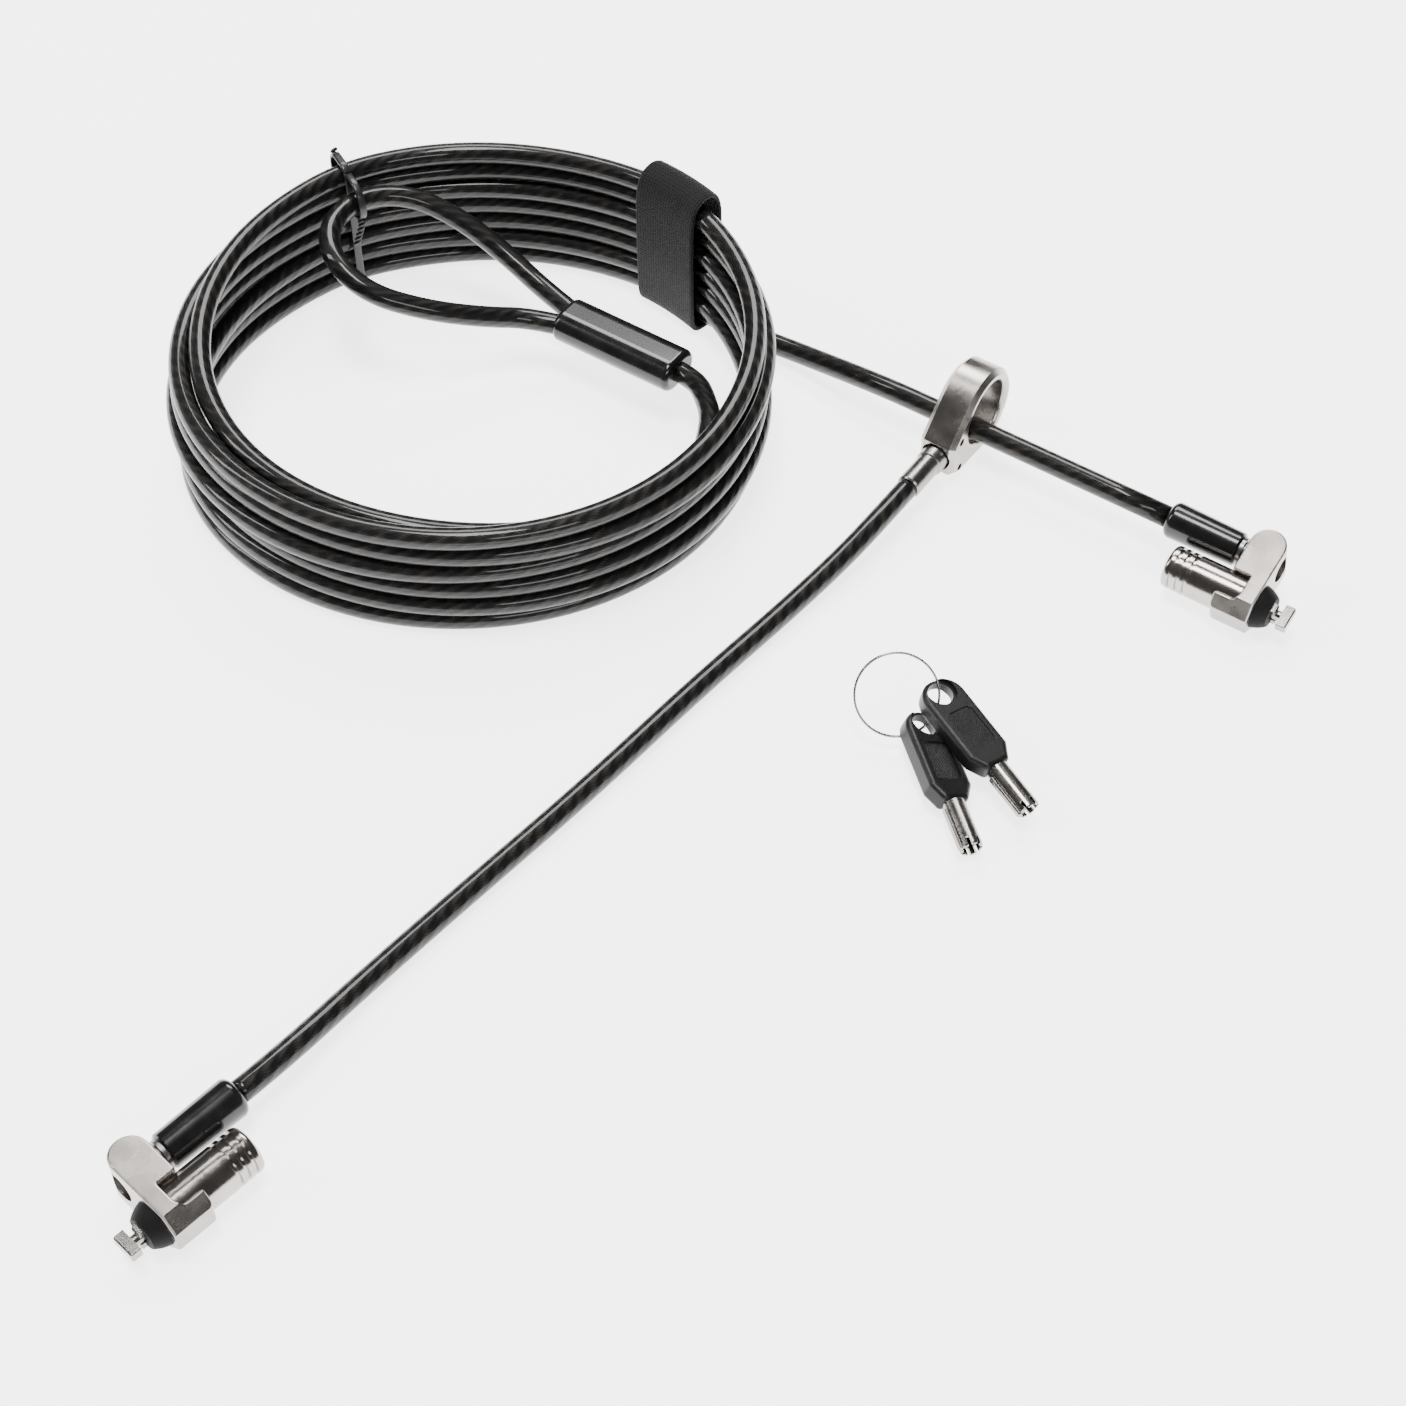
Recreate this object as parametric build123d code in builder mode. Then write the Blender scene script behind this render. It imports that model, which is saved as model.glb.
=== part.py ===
from build123d import *
from math import cos, hypot, pi, radians, sin, tan
import os

# A two-headed keyed laptop cable lock, in millimetres. +Z is up and z = 0 is the surface it lies
# on. +X runs to the right of the laid-out lock and +Y away from its user. The origin is under
# the middle of the box that holds its solid pieces, on the surface.

# ---- cable ---------------------------------------------------------------------------------
CABLE_D = 5.3                       # outside of the clear sheath over the steel rope
CABLE_R = CABLE_D / 2
LAYER = CABLE_D + 0.05              # height of one turn of the coil on the one below it

# ---- lock head: local X to the tip, Y from the cable to the barrel, Z up ---------------------
PITCH = 11.0                        # cable axis to barrel axis
RUN_FIT = 0.05                      # radial gap of turning fits
COLLAR_LENGTH = 8.6                 # along the cable
COLLAR_END = 5.5                    # cable axis to the rounded end
RING_LENGTH = 4.0                   # closed ring at the front of the barrel
JAW_LENGTH = 9.6                    # outer jaw beside the barrel
SHOULDER_WALL = 2.0                 # back wall that the cable's swivel pulls against
JAW_BEVEL = 3.4
EDGE = 0.45                         # rounded edges of the castings
BARREL_R = 5.2
BARREL_LENGTH = 23.1
COLLAR_WALL = 0.8                   # over and under the barrel
JAW_WALL = 1.3                      # beside the barrel
COLLAR_H = 2 * (BARREL_R + COLLAR_WALL)
COLLAR_OUTER = BARREL_R + JAW_WALL  # barrel axis to the outside of the jaw
CHAMBER_WALL = 1.3
CHAMBER_R = BARREL_R - CHAMBER_WALL
KEYWAY_LENGTH = 5.1                 # back wall of the barrel, that the key goes through
CHAMBER_LENGTH = BARREL_LENGTH - KEYWAY_LENGTH
KEY_TUBE_R = 2.65
KEY_TUBE_BORE_R = 1.9
KEY_FIT = 0.15
KEYWAY_R = KEY_TUBE_R + KEY_FIT
KEYWAY_POST_R = KEY_TUBE_BORE_R - KEY_FIT - RUN_FIT
KEY_SLOT = 1.3                      # notch that takes the key's rib
GROOVES = 3
GROOVE_PITCH = 1.9
GROOVE_WIDTH = 0.8
GROOVE_DEPTH = 0.6
NOSE_LENGTH = 3.4
NOSE_TIP_R = 3.6
PIN_WIDTH = 2.3                     # square anti-rotation pins
PIN_OUTER = 2.9                     # barrel axis to the outside of a pin
PIN_INNER = 1.3
PIN_REACH = 4.7                     # in front of the collar
PLATE_LENGTH = 3.0
SPINDLE_R = 1.2
FOOT_BACK = 5.6                     # lock foot: hooks behind the slot of a laptop
FOOT_LENGTH = 2.4
FOOT_WIDTH = 5.9
FOOT_H = 2.6
PLUG_GAP = 0.1
TUMBLERS = 7
TUMBLER_CIRCLE_R = 2.75
TUMBLER_BORE_R = 0.5
TUMBLER_R = 0.45
TUMBLER_LENGTH = 3.0
TUMBLER_BORE = 6.0
TANG = 1.6
TANG_LENGTH = 4.0
RETAINER_R = 0.6
FERRULE_R = CABLE_R + 0.35          # tube crimped on the cable
FERRULE_NECK_R = FERRULE_R - 0.55
FERRULE_HEAD_R = FERRULE_R + 0.3
FERRULE_RIM_R = FERRULE_R + 0.4     # turned rim next to the boot
FERRULE_WAIST_R = FERRULE_R - 0.25
FERRULE_SHOWN = 2.0                 # bare ferrule between collar and boot
BOOT_LENGTH = 18.5
BOOT_BACK_R = CABLE_R + 1.85
BOOT_FRONT_R = FERRULE_R + 1.15

# ---- sliding trap: local X along the main cable, boss towards -Y -----------------------------
TRAP_LENGTH = 9.5                   # along the main cable
TRAP_EYE_Y = 5.0                    # cable axis to the eye's centre
TRAP_EYE_R = 8.3
TRAP_RIM = 3.1
TRAP_FLARE = 1.3
TRAP_BEVEL = 1.2
TRAP_EYE_Z = TRAP_EYE_R + TRAP_RIM
TRAP_BOSS_R = 6.4
TRAP_BOSS_Y = -6.2
TRAP_BOSS_Z = 7.0
TRAP_FACE_Y = -11.2
SWIVEL_R = CABLE_R + 0.4            # tube crimped on the cable
TRAP_SOCKET_R = SWIVEL_R + 0.8
TRAP_SOCKET_END = -4.9
ROLL_PIN_R = 1.0
ROLL_PIN_BORE_R = 0.6
ROLL_PIN_RECESS = 1.2               # from the side faces to the pins' ends
ROLL_PIN_Y = -7.1
SWIVEL_END = -23.8
SWIVEL_RIM_R = SWIVEL_R + 0.35      # shoulder in the mouth of the socket
SWIVEL_RIM_BACK = -14.4
SWIVEL_RIM_FRONT = -10.4
SWIVEL_FLANGE = 1.1
ROLL_PIN_REACH = SWIVEL_R + RUN_FIT + ROLL_PIN_R
ROLL_PINS = [
    (ROLL_PIN_Y, TRAP_BOSS_Z + ROLL_PIN_REACH),
    (ROLL_PIN_Y, TRAP_BOSS_Z - ROLL_PIN_REACH),
]

# ---- loop sleeve, strap, tie ------------------------------------------------------------------
SLEEVE_LENGTH = 35.0
SLEEVE_WIDTH = 12.6
SLEEVE_H = 8.6
CRIMP_LENGTH = 20.0
CRIMP_WIDTH = 10.0
CRIMP_H = 5.8
STRAP_WIDTH = 20.0
STRAP_T = 1.6
TIE_WIDTH = 2.2
TIE_T = 0.9

# ---- keys: local X from the bow's end to the tip, Z through the bow ---------------------------
BOW_LENGTH = 25.0
BOW_WIDTH = 10.6
BOW_T = 5.0
BOW_HOLE_X = 3.6
BOW_HOLE_R = 2.9
BOW_FIELD = (14.6, 10.4, 6.6, 0.25)  # middle, length, width and depth of the sunk field
BOW_WEB = 2.2                       # thin web round the hole
KEY_TUBE_LENGTH = 12.0
KEY_SHANK_R = 1.7                   # shank moulded into the bow
KEY_SHANK_LENGTH = 8.0
KEY_NOTCH = (1.6, 0.7, 2.0)         # depth, width and length of the notches at the tip
RING_R = 9.4
RING_WIRE_R = 0.45
RING_TILT = 50

# ---- coil -------------------------------------------------------------------------------------
COIL_X = -67.0
COIL_Y = 85.0
COIL_A = 69.5                       # half axes of the turns' centre line
COIL_B = 65.0
COIL_OUT = 5.0                      # solid's walls, from the centre line
COIL_IN = 4.3
COIL_FRONT_IN = 8.6                 # the last turn lies inside the others at the front
COIL_TURNS = 7
COIL_FRONT_H = 33.5
COIL_BACK_H = LAYER * COIL_TURNS + 1.5

# ---- where things lie -------------------------------------------------------------------------
RUN_ANGLE = -34.6                   # the straight run of the main cable, seen from above
RUN_Z = 10.0
TRAP_AT = (51.4, 78.0)
HEAD_A_AT = (122.6, 28.9)
ORIGIN_SHIFT = (0.35, -1.2, 0.0)      # brings the middle of the set's pieces to the origin
HEAD_A_ROLL = 17.0                  # the stiff cable holds the first head a little rolled
HEAD_B_AT = (-123.4, -130.0)
HEAD_B_ANGLE = -133.8
SLEEVE_AT = (-31.1, 102.1, 13.0)
SLEEVE_ANGLE = 145.7
STRAP_TURN = 44
TIE_TURN = 120
RING_AT = (31.8, -9.6, 10.7)
KEY_1_ON_RING = -3
KEY_2_ON_RING = -53

# Routes of the cable where it isn't coiled, as corners of straight runs.
RUN_ROUTE = [
    (98.65, 45.42, 10.0),
    (33.5, 90.36, 10.0),
    (12.0, 110.2, 3.6),
    (-6.0, 120.6, 3.3),
]
TAIL_ROUTE = [
    (-18.2, 93.4, 13.0),
    (-12.6, 88.8, 13.3),
    (-10.4, 81.0, 14.6),
    (-9.0, 71.5, 16.4),
    (-8.6, 60.5, 18.2),
]
LOOP_ROUTE = [
    (-43.39, 113.74, 13.0),
    (-50.8, 121.0, 14.0),
    (-60.6, 129.4, 18.6),
    (-72.0, 135.9, 24.8),
    (-85.0, 139.0, 30.3),
    (-97.5, 135.0, 32.4),
    (-104.1, 123.8, 32.6),
    (-101.95, 112.2, 31.2),
    (-92.7, 104.9, 27.0),
    (-78.7, 105.0, 21.6),
    (-65.0, 108.0, 16.8),
    (-54.4, 111.4, 13.6),
    (-46.3, 109.18, 13.0),
]
SECOND_ROUTE = [
    (37.869, 58.385, 7.0),
    (31.07, 48.53, 7.0),
    (21.6, 37.4, 4.6),
    (8.0, 22.4, 2.8),
    (-12.5, -0.8, 2.7),
    (-36.5, -30.2, 2.7),
    (-61.6, -58.4, 2.7),
    (-80.8, -80.6, 2.9),
    (-94.95, -100.33, 6.0),
    (-103.26, -109.0, 6.0),
]


def save(piece, name):
    """Labels one finished piece and writes it as its own node, about the set's middle."""
    piece = piece.moved(Location(ORIGIN_SHIFT))
    piece.label = name
    export_step(piece, f"parts/{name}.step")
    print(f"{name:24s} solids {len(piece.solids())}  volume {piece.volume:9.1f}")


def turned(radius_steps, y, z=0.0):
    """A turned piece along X: (x, radius) steps revolved about the axis at y, z."""
    first = radius_steps[0][0]
    last = radius_steps[-1][0]
    points = [(first, y)] + [(x, y + radius) for x, radius in radius_steps] + [(last, y)]
    with BuildPart() as piece:
        with BuildSketch(Plane.XY.offset(z)):
            with BuildLine():
                Polyline(*points, close=True)
            make_face()
        revolve(axis=Axis((0, y, z), (1, 0, 0)))
    return piece.part


def cable_tube(route, name, face=None, stop=None):
    """A cable along straight runs joined by tangent arcs, cut flush with a face or a stop."""
    runs = [Vector(*b) - Vector(*a) for a, b in zip(route, route[1:])]
    radii = []
    for before, after in zip(runs, runs[1:]):
        turn = radians(before.get_angle(after))
        radii.append(0.45 * min(before.length, after.length) / tan(turn / 2))
    with BuildPart() as tube:
        with BuildLine() as path:
            centre_line = FilletPolyline(*route, radius=radii)
        start = Plane(origin=route[0], z_dir=runs[0])
        with BuildSketch(start):
            Circle(CABLE_R)
        sweep(path=path.line)
        swept = tube.part.volume / (pi * CABLE_R ** 2)
        if face is not None:
            split(bisect_by=face, keep=Keep.TOP)
        if stop is not None:
            add(stop, mode=Mode.SUBTRACT)
    print(name, "radii", [round(r) for r in radii], "runs", [round(r.length) for r in runs])
    print(name, f"length {centre_line.length:.1f}, volume over section {swept:.1f}")
    return tube.part


# ---- lock head --------------------------------------------------------------------------------
def lock_collar():
    """Die-cast collar: rounded end on the cable, ring and outer jaw on the barrel."""
    end_r = COLLAR_LENGTH / 2
    end_y = end_r - COLLAR_END
    outer_y = PITCH + COLLAR_OUTER
    jaw_y = PITCH + BARREL_R - 1.9
    step_y = PITCH - BARREL_R + 1.8
    half_h = COLLAR_H / 2
    with BuildPart() as collar:
        with BuildSketch(Plane.XY.offset(-COLLAR_H / 2)) as outline:
            with BuildLine():
                Polyline(
                    (0, end_y), (0, outer_y), (-JAW_LENGTH, outer_y), (-JAW_LENGTH, jaw_y),
                    (-RING_LENGTH, jaw_y), (-RING_LENGTH, step_y), (-COLLAR_LENGTH, step_y),
                    (-COLLAR_LENGTH, end_y),
                )
                ThreePointArc((-COLLAR_LENGTH, end_y), (-end_r, end_y - end_r), (0, end_y))
            make_face()
            for x, y, radius in ((-RING_LENGTH, jaw_y, 1.6), (-RING_LENGTH, step_y, 0.5),
                                 (-JAW_LENGTH, outer_y, 1.2)):
                corner = (x, y, -COLLAR_H / 2)
                fillet(outline.vertices().sort_by_distance(corner)[0], radius=radius)
        extrude(amount=COLLAR_H)
        with BuildSketch(Plane.YZ.offset(-JAW_LENGTH - 1)):
            with BuildLine():
                Polyline(
                    (-PITCH, -half_h), (outer_y - JAW_BEVEL, -half_h),
                    (outer_y, JAW_BEVEL - half_h), (outer_y, half_h - JAW_BEVEL),
                    (outer_y - JAW_BEVEL, half_h), (-PITCH, half_h), close=True,
                )
            make_face()
        extrude(amount=JAW_LENGTH + 2, mode=Mode.INTERSECT)
        fillet(collar.edges(), radius=EDGE)
        with BuildSketch(Plane.YZ.offset(-COLLAR_LENGTH - 2)):
            with Locations((PITCH, 0)):
                Circle(BARREL_R + RUN_FIT)
        extrude(amount=COLLAR_LENGTH + 4, mode=Mode.SUBTRACT)
        with BuildSketch(Plane.YZ.offset(-COLLAR_LENGTH - 1)):
            Circle(FERRULE_NECK_R + RUN_FIT)
        extrude(amount=COLLAR_LENGTH + 2, mode=Mode.SUBTRACT)
        with BuildSketch(Plane.YZ.offset(-COLLAR_LENGTH + SHOULDER_WALL)):
            Circle(FERRULE_HEAD_R + RUN_FIT)
        extrude(amount=COLLAR_LENGTH, mode=Mode.SUBTRACT)
    return collar.part


def lock_barrel():
    """Turned barrel with grip grooves, keyway behind and plug chamber in front."""
    back = -BARREL_LENGTH
    with BuildPart() as barrel:
        with BuildSketch(Plane.YZ.offset(back)):
            with Locations((PITCH, 0)):
                Circle(BARREL_R)
        extrude(amount=BARREL_LENGTH)
        fillet(barrel.edges().group_by(Axis.X)[0], radius=1.1)
        with BuildSketch(Plane.YZ.offset(-CHAMBER_LENGTH)):
            with Locations((PITCH, 0)):
                Circle(CHAMBER_R)
        extrude(amount=CHAMBER_LENGTH, mode=Mode.SUBTRACT)
        with BuildSketch(Plane.YZ.offset(back)):
            with Locations((PITCH, 0)):
                Circle(KEYWAY_R)
            with Locations((PITCH, KEYWAY_R)):
                Rectangle(KEY_SLOT, KEY_SLOT)
        extrude(amount=BARREL_LENGTH - CHAMBER_LENGTH, mode=Mode.SUBTRACT)
        for i in range(GROOVES):
            with BuildSketch(Plane.YZ.offset(back + (i + 1) * GROOVE_PITCH)):
                with Locations((PITCH, 0)):
                    Circle(BARREL_R + 1)
                    Circle(BARREL_R - GROOVE_DEPTH, mode=Mode.SUBTRACT)
            extrude(amount=GROOVE_WIDTH, mode=Mode.SUBTRACT)
        with BuildSketch(Plane.XY):
            with Locations((-PLATE_LENGTH / 2, PITCH)):
                Circle(RETAINER_R)
        extrude(amount=BARREL_R + 1, mode=Mode.SUBTRACT)
    return barrel.part


def lock_nose():
    """Rubber nose cone that cushions the laptop, round the pins."""
    with BuildPart() as nose:
        with BuildSketch(Plane.XY):
            with BuildLine():
                Polyline((NOSE_LENGTH, PITCH + NOSE_TIP_R), (NOSE_LENGTH, PITCH), (0, PITCH),
                         (0, PITCH + BARREL_R))
                RadiusArc((0, PITCH + BARREL_R), (NOSE_LENGTH, PITCH + NOSE_TIP_R), 7.0)
            make_face()
        revolve(axis=Axis((0, PITCH, 0), (1, 0, 0)))
        with BuildSketch(Plane.YZ.offset(-1)):
            with Locations((PITCH, 0)):
                Rectangle(PIN_WIDTH + 2 * RUN_FIT, 2 * (PIN_OUTER + RUN_FIT))
                Circle(SPINDLE_R + 4 * RUN_FIT)
        extrude(amount=NOSE_LENGTH + 2, mode=Mode.SUBTRACT)
    return nose.part


def lock_pin_plate():
    """Front plate of the barrel with its two square anti-rotation pins."""
    pin_h = PIN_OUTER - PIN_INNER
    pin_mid = (PIN_OUTER + PIN_INNER) / 2
    with BuildPart() as plate:
        with BuildSketch(Plane.YZ.offset(-PLATE_LENGTH)):
            with Locations((PITCH, 0)):
                Circle(CHAMBER_R)
        extrude(amount=PLATE_LENGTH)
        with BuildSketch(Plane.YZ.offset(-PLATE_LENGTH)):
            with Locations((PITCH, pin_mid), (PITCH, -pin_mid)):
                Rectangle(PIN_WIDTH, pin_h)
        extrude(amount=PLATE_LENGTH + PIN_REACH)
        chamfer(plate.edges().group_by(Axis.X)[-1], length=0.3)
        with BuildSketch(Plane.YZ.offset(-PLATE_LENGTH)):
            with Locations((PITCH, 0)):
                Circle(SPINDLE_R + RUN_FIT)
        extrude(amount=PLATE_LENGTH + PIN_REACH, mode=Mode.SUBTRACT)
        with BuildSketch(Plane.XY.offset(BARREL_R - RETAINER_R - 2.2)):
            with Locations((-PLATE_LENGTH / 2, PITCH)):
                Circle(RETAINER_R)
        extrude(amount=BARREL_R, mode=Mode.SUBTRACT)
    return plate.part


def lock_retaining_pin():
    """Cross pin that keeps the front plate in the barrel, hidden under the collar's ring."""
    bottom = BARREL_R - RETAINER_R - 2.2
    with BuildPart() as pin:
        with BuildSketch(Plane.XY.offset(bottom)):
            with Locations((-PLATE_LENGTH / 2, PITCH)):
                Circle(RETAINER_R)
        extrude(amount=BARREL_R - 0.2 - bottom)
    return pin.part


def lock_plug():
    """Plug that the key turns, with the keyway's centre post and its tumbler bores."""
    back = -CHAMBER_LENGTH + PLUG_GAP
    front = -PLATE_LENGTH - PLUG_GAP
    with BuildPart() as plug:
        with BuildSketch(Plane.YZ.offset(back)):
            with Locations((PITCH, 0)):
                Circle(CHAMBER_R - RUN_FIT)
        extrude(amount=front - back)
        with BuildSketch(Plane.YZ.offset(-BARREL_LENGTH + 0.6)):
            with Locations((PITCH, 0)):
                Circle(KEYWAY_POST_R)
        extrude(amount=back + BARREL_LENGTH - 0.6)
        with BuildSketch(Plane.YZ.offset(back)):
            with Locations((PITCH, 0)):
                with PolarLocations(TUMBLER_CIRCLE_R, TUMBLERS):
                    Circle(TUMBLER_BORE_R)
        extrude(amount=TUMBLER_BORE, mode=Mode.SUBTRACT)
        with BuildSketch(Plane.YZ.offset(front - TANG_LENGTH)):
            with Locations((PITCH, 0)):
                Rectangle(TANG, TANG)
        extrude(amount=TANG_LENGTH, mode=Mode.SUBTRACT)
    return plug.part


def lock_spindle():
    """Spindle with the T-shaped lock foot, driven by a square tang in the plug."""
    front = -PLATE_LENGTH - PLUG_GAP
    with BuildPart() as spindle:
        with BuildSketch(Plane.YZ.offset(front - TANG_LENGTH)):
            with Locations((PITCH, 0)):
                Rectangle(TANG, TANG)
        extrude(amount=TANG_LENGTH)
        with BuildSketch(Plane.YZ.offset(front)):
            with Locations((PITCH, 0)):
                Circle(SPINDLE_R)
        extrude(amount=FOOT_BACK - front)
        with BuildSketch(Plane.YZ.offset(FOOT_BACK)):
            with Locations((PITCH, 0)):
                RectangleRounded(FOOT_WIDTH, FOOT_H, 0.35)
        extrude(amount=FOOT_LENGTH)
        chamfer(spindle.faces().sort_by(Axis.X)[-1].edges(), length=0.3)
    return spindle.part


def tumbler_stack(start, length, bore_r):
    """Seven small turned pieces in the plug's bores."""
    with BuildPart() as stack:
        with BuildSketch(Plane.YZ.offset(start)):
            with Locations((PITCH, 0)):
                with PolarLocations(TUMBLER_CIRCLE_R, TUMBLERS):
                    Circle(TUMBLER_R)
                    if bore_r > 0:
                        Circle(bore_r, mode=Mode.SUBTRACT)
        extrude(amount=length)
    return stack.part


def lock_tumblers():
    """Tumbler pins, one in each bore of the plug."""
    return tumbler_stack(-CHAMBER_LENGTH + PLUG_GAP, TUMBLER_LENGTH, 0)


def lock_springs():
    """Tumbler springs behind the pins, each drawn as a thin tube of its outer size."""
    start = -CHAMBER_LENGTH + PLUG_GAP + TUMBLER_LENGTH
    return tumbler_stack(start, TUMBLER_BORE - TUMBLER_LENGTH, TUMBLER_R - 0.15)


def cable_ferrule():
    """Steel ferrule crimped on the cable; its head turns in the collar."""
    back_wall = -COLLAR_LENGTH + SHOULDER_WALL
    boot_front = -COLLAR_LENGTH - FERRULE_SHOWN
    boot_back = boot_front - BOOT_LENGTH
    tail = boot_front - 0.5 * BOOT_LENGTH
    return turned([
        (boot_back, CABLE_R), (tail, CABLE_R), (tail, FERRULE_R), (boot_front, FERRULE_R),
        (boot_front, FERRULE_RIM_R), (boot_front + 0.9, FERRULE_RIM_R),
        (boot_front + 1.1, FERRULE_WAIST_R), (-COLLAR_LENGTH - 0.1, FERRULE_WAIST_R),
        (-COLLAR_LENGTH - 0.1, FERRULE_NECK_R),
        (back_wall + 0.1, FERRULE_NECK_R), (back_wall + 0.1, FERRULE_HEAD_R),
        (-3.0, FERRULE_HEAD_R), (-2.6, FERRULE_HEAD_R - 0.4),
    ], 0)


def cable_boot():
    """Moulded strain relief over the ferrule and the end of the cable."""
    front = -COLLAR_LENGTH - FERRULE_SHOWN
    back = front - BOOT_LENGTH
    tail = front - 0.5 * BOOT_LENGTH
    with BuildPart() as boot:
        with BuildSketch(Plane.XY):
            with BuildLine():
                Polyline(
                    (back + 1.6, BOOT_BACK_R), (front - 0.5, BOOT_FRONT_R),
                    (front, BOOT_FRONT_R - 0.5), (front, FERRULE_R), (tail, FERRULE_R),
                    (tail, CABLE_R), (back, CABLE_R), (back, BOOT_BACK_R - 1.4),
                )
                RadiusArc((back, BOOT_BACK_R - 1.4), (back + 1.6, BOOT_BACK_R), 1.6)
            make_face()
        revolve(axis=Axis.X)
    return boot.part


HEAD_PIECES = {
    "collar": lock_collar,
    "barrel": lock_barrel,
    "nose": lock_nose,
    "pin_plate": lock_pin_plate,
    "retaining_pin": lock_retaining_pin,
    "plug": lock_plug,
    "spindle": lock_spindle,
    "tumblers": lock_tumblers,
    "tumbler_springs": lock_springs,
    "ferrule": cable_ferrule,
    "boot": cable_boot,
}


# ---- sliding trap -----------------------------------------------------------------------------
def trap_body():
    """Teardrop casting: flared eye on the main cable, boss for the second cable's swivel."""
    with BuildPart() as body:
        with BuildSketch(Plane.YZ.offset(-TRAP_LENGTH / 2)):
            with Locations((TRAP_EYE_Y, TRAP_EYE_Z)):
                Circle(TRAP_EYE_R + TRAP_RIM)
            with Locations((TRAP_BOSS_Y, TRAP_BOSS_Z)):
                Circle(TRAP_BOSS_R)
            make_hull()
        extrude(amount=TRAP_LENGTH)
        split(bisect_by=Plane.XZ.offset(-TRAP_FACE_Y), keep=Keep.BOTTOM)
        side_edges = body.faces().filter_by(Axis.X).edges()
        chamfer(side_edges, length=TRAP_BEVEL)
        with BuildSketch(Plane.YZ.offset(-TRAP_LENGTH / 2)):
            with Locations((TRAP_EYE_Y, TRAP_EYE_Z)):
                Circle(TRAP_EYE_R)
        extrude(amount=TRAP_LENGTH, mode=Mode.SUBTRACT)
        eye_rims = body.edges().filter_by(GeomType.CIRCLE).filter_by(
            lambda rim: abs(rim.radius - TRAP_EYE_R) < 0.01
        )
        fillet(eye_rims, radius=TRAP_FLARE)
        with BuildSketch(Plane.XZ.offset(-TRAP_SOCKET_END)):
            with Locations((0, TRAP_BOSS_Z)):
                Circle(TRAP_SOCKET_R)
        extrude(amount=TRAP_SOCKET_END - TRAP_FACE_Y + 1, mode=Mode.SUBTRACT)
        with BuildSketch(Plane.YZ.offset(-TRAP_LENGTH / 2 - 1)):
            with Locations(*ROLL_PINS):
                Circle(ROLL_PIN_R)
        extrude(amount=TRAP_LENGTH + 2, mode=Mode.SUBTRACT)
    return body.part


def trap_roll_pins():
    """Two hollow roll pins that hold the swivel's flange in the boss."""
    length = TRAP_LENGTH - 2 * ROLL_PIN_RECESS
    with BuildPart() as pins:
        with BuildSketch(Plane.YZ.offset(-length / 2)):
            with Locations(*ROLL_PINS):
                Circle(ROLL_PIN_R)
                Circle(ROLL_PIN_BORE_R, mode=Mode.SUBTRACT)
        extrude(amount=length)
    return pins.part


def trap_swivel():
    """Steel swivel ferrule on the second cable, flanged inside the boss."""
    flange_back = TRAP_SOCKET_END - 0.1
    flange_front = flange_back - SWIVEL_FLANGE
    steps = [
        (-flange_back, TRAP_SOCKET_R - RUN_FIT), (-flange_front, TRAP_SOCKET_R - RUN_FIT),
        (-flange_front, SWIVEL_R), (-SWIVEL_RIM_FRONT, SWIVEL_R),
        (-SWIVEL_RIM_FRONT, SWIVEL_RIM_R), (-SWIVEL_RIM_BACK - 0.3, SWIVEL_RIM_R),
        (-SWIVEL_RIM_BACK, SWIVEL_R), (-SWIVEL_END - 0.4, SWIVEL_R),
        (-SWIVEL_END, SWIVEL_R - 0.3),
    ]
    return turned(steps, 0).rotate(Axis.Z, -90).translate((0, 0, TRAP_BOSS_Z))


# ---- loop sleeve ------------------------------------------------------------------------------
def oval_bar(length, width, height, rounding):
    """A bar with an oval section along X, its ends rounded."""
    with BuildPart() as bar:
        with BuildSketch(Plane.YZ.offset(-length / 2)):
            SlotOverall(width, height)
        extrude(amount=length)
        if rounding > 0:
            fillet(bar.faces().filter_by(Axis.X).edges(), radius=rounding)
    return bar.part


def loop_sleeve():
    """Moulded oval sleeve over the crimp that closes the loop."""
    with BuildPart() as sleeve:
        add(oval_bar(SLEEVE_LENGTH, SLEEVE_WIDTH, SLEEVE_H, 1.5))
        add(loop_crimp(), mode=Mode.SUBTRACT)
    return sleeve.part


def loop_crimp():
    """Metal crimp inside the sleeve."""
    return oval_bar(CRIMP_LENGTH, CRIMP_WIDTH, CRIMP_H, 0)


# ---- coil, strap and tie ------------------------------------------------------------------------
def bundle_plane(turn):
    """Upright plane across the coil's bundle: X outwards, Y up, Z along the turn."""
    angle = radians(turn)
    origin = (COIL_X + COIL_A * cos(angle), COIL_Y + COIL_B * sin(angle), 0)
    along = Vector(-COIL_A * sin(angle), COIL_B * cos(angle), 0).normalized()
    outwards = Vector(along.Y, -along.X, 0)
    return Plane(origin=origin, x_dir=outwards, z_dir=-along)


def cable_strap():
    """Hook-and-loop strap: one closed band round the bundle, with its free end outside."""
    half = COIL_OUT + 1.2
    top = COIL_BACK_H + 2 * STRAP_T
    with BuildPart() as strap:
        with BuildSketch(bundle_plane(STRAP_TURN).offset(-STRAP_WIDTH / 2)):
            with Locations((0, top / 2)):
                RectangleRounded(2 * half, top, 3.6)
                RectangleRounded(2 * (half - STRAP_T), top - 2 * STRAP_T, 2.4,
                                 mode=Mode.SUBTRACT)
            with Locations((half + STRAP_T / 2 - 0.1, top - 13)):
                Rectangle(STRAP_T + 0.2, 13)
        extrude(amount=STRAP_WIDTH)
    return strap.part


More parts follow.
